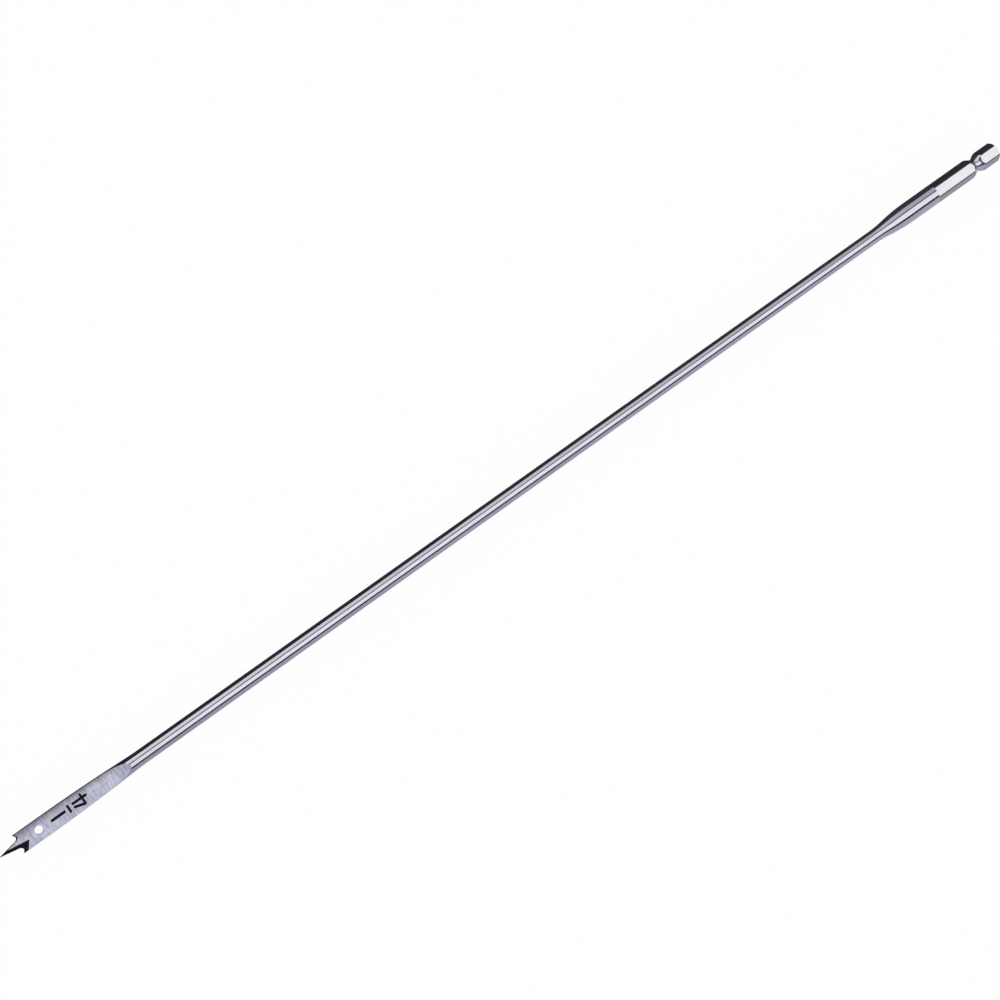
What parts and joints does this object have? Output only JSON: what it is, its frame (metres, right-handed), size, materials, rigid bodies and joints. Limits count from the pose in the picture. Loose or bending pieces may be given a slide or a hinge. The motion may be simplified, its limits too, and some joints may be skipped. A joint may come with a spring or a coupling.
{
  "type": "spade drill bit",
  "caption": "Long flat spade bit for boring wood: a pointed, spurred blade on a round stem, with a grooved hexagonal shank that a quick-change chuck holds.",
  "frame": {"origin": "centre of the shank's end face, on the bit's axis", "axes": "+X along the bit's axis from the point towards the end of the shank, +Y across the blade, +Z square to the blade's flats"},
  "size_m": [0.4064, 0.007, 0.007],
  "materials": {
    "steel": "ground across the blade, drawn bright along the stem and shank",
    "mark": "dull black size figures on the blade"
  },
  "bodies": {
    "root": {"spade_bit": "steel"}
  },
  "joints": []
}
